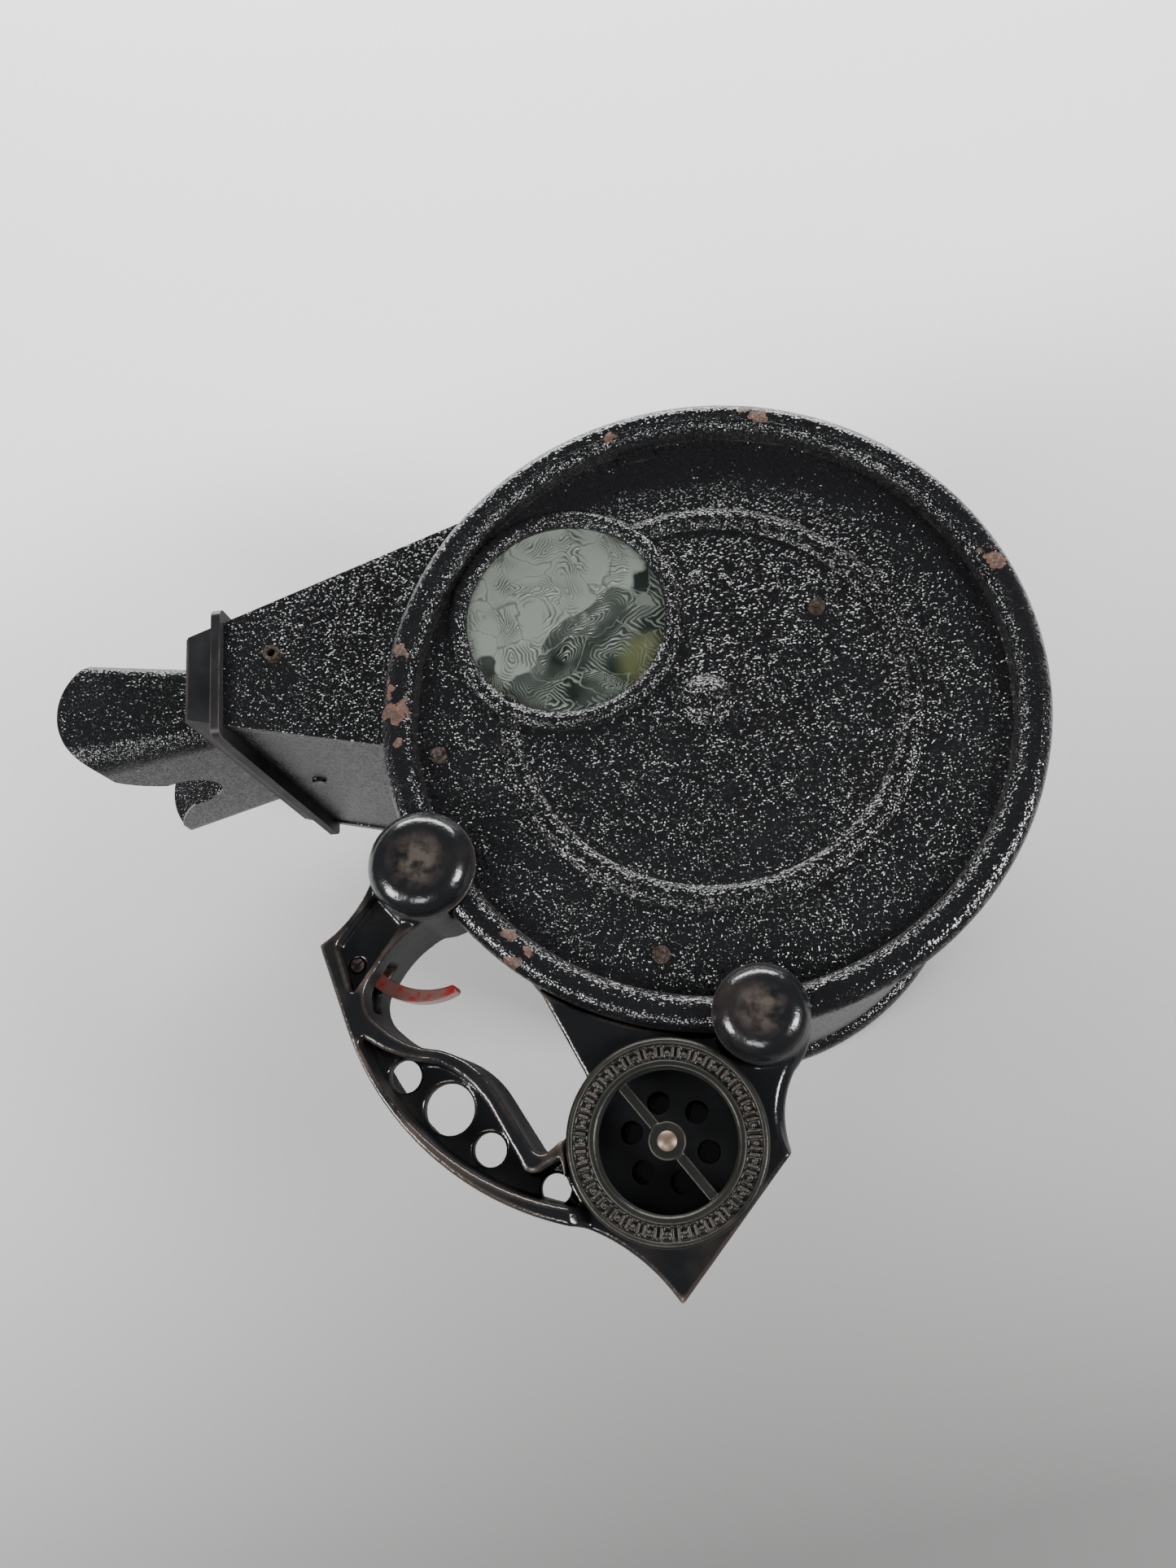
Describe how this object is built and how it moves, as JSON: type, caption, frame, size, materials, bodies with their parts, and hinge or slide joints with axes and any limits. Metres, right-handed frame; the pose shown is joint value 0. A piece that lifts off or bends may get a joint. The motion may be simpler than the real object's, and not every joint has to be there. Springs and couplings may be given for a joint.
{
  "type": "drum stereoscope",
  "caption": "Hand-held drum stereoscope: face hood, lens box and tapered tunnel on a card drum with light windows, a cast pistol grip and a trigger that steps the reel of cards.",
  "frame": {"origin": "under the middle of the overall box, on the plane of the far rim it lies on", "axes": "+X from the eyes to the drum, +Z along the drum axle to the near side, which carries the grip"},
  "size_m": [0.4112, 0.3416, 0.2226],
  "materials": {
    "japanned_sheet": "pebbled black japan",
    "enamelled_sheet": "smooth black enamel, worn on the edges",
    "enamelled_casting": "gloss black enamel on cast iron",
    "chipped_glass": "glue-chipped, light diffusing",
    "lens_glass": "polished",
    "aged_brass": "aged, dark greenish brown",
    "brass": "aged",
    "red_lacquer": "red lacquer worn on the face",
    "card": "matt",
    "board": "dark stained",
    "steel": "dull, slightly rusted"
  },
  "bodies": {
    "viewer": {"axle": "steel", "axle_collar": "brass", "axle_socket": "steel", "bridge_plate": "steel", "bridge_screws": "steel", "card_stop": "steel", "clip_rivets": "steel", "cup_floor": "enamelled_sheet", "cup_ring": "aged_brass", "cup_rivet": "steel", "drum_wall": "japanned_sheet", "far_cover": "japanned_sheet", "far_glass": "chipped_glass", "floor_rivet": "steel", "frame_screws": "steel", "front_ear_cap": "enamelled_casting", "glass_clips": "steel", "handle_frame": "enamelled_casting", "hood": "japanned_sheet", "hood_flange": "japanned_sheet", "hood_screws": "brass", "left_lens": "lens_glass", "lens_board": "board", "lens_box": "enamelled_sheet", "lens_rings": "brass", "near_cover": "japanned_sheet", "near_glass": "chipped_glass", "rear_ear_cap": "enamelled_casting", "right_lens": "lens_glass", "screw_collars": "steel", "septum": "enamelled_sheet", "trigger_pivot": "steel", "trigger_spring": "steel", "tunnel_body": "japanned_sheet", "tunnel_flange": "enamelled_sheet", "tunnel_floor": "japanned_sheet", "tunnel_studs": "steel"},
    "reel": {"card_hub": "steel", "near_hub_disc": "steel", "far_hub_disc": "steel", "near_bush": "brass", "far_bush": "brass", "ratchet_wheel": "steel", "view_card_01": "card", "view_card_02": "card", "view_card_03": "card", "view_card_04": "card", "view_card_05": "card", "view_card_06": "card", "view_card_07": "card", "view_card_08": "card", "view_card_09": "card"},
    "trigger": {"trigger": "red_lacquer", "lower_rod_pin": "steel"},
    "rod": {"connecting_rod": "steel"},
    "pawl_lever": {"pawl_arm": "steel", "upper_rod_pin": "steel", "pawl_pin": "steel", "pawl_spring": "steel"},
    "pawl": {"pawl": "steel"}
  },
  "joints": [
    {"name": "reel_turn", "type": "hinge", "parent": "viewer", "child": "reel", "pos_m": [0.0786, 0.04383, 0.1055], "axis": [0, 0, 1], "range_deg": [0, 15]},
    {"name": "trigger_pull", "type": "hinge", "parent": "viewer", "child": "trigger", "pos_m": [-0.06135, -0.04562, 0.19], "axis": [0, 0, -1], "range_deg": [0, 15], "stiffness_Nm_per_rad": 0.4, "springref_deg": -20.05, "deforming": ["trigger_spring"]},
    {"name": "rod_swing", "type": "hinge", "parent": "trigger", "child": "rod", "pos_m": [-0.06715, -0.03873, 0.1955], "axis": [0, 0, 1], "range_deg": [0, 15]},
    {"name": "lever_turn", "type": "hinge", "parent": "viewer", "child": "pawl_lever", "pos_m": [0.0786, 0.04383, 0.1905], "axis": [0, 0, 1], "range_deg": [0, 15]},
    {"name": "pawl_lift", "type": "hinge", "parent": "pawl_lever", "child": "pawl", "pos_m": [0.05252, 0.03684, 0.1865], "axis": [0, 0, -1], "range_deg": [0, 12], "stiffness_Nm_per_rad": 0.02, "springref_deg": -17.19, "deforming": ["pawl_spring"]}
  ],
  "couplings": [
    {"joint": "trigger_pull", "follows": "reel_turn", "ratio": 1},
    {"joint": "rod_swing", "follows": "reel_turn", "ratio": 1},
    {"joint": "lever_turn", "follows": "reel_turn", "ratio": 1}
  ]
}
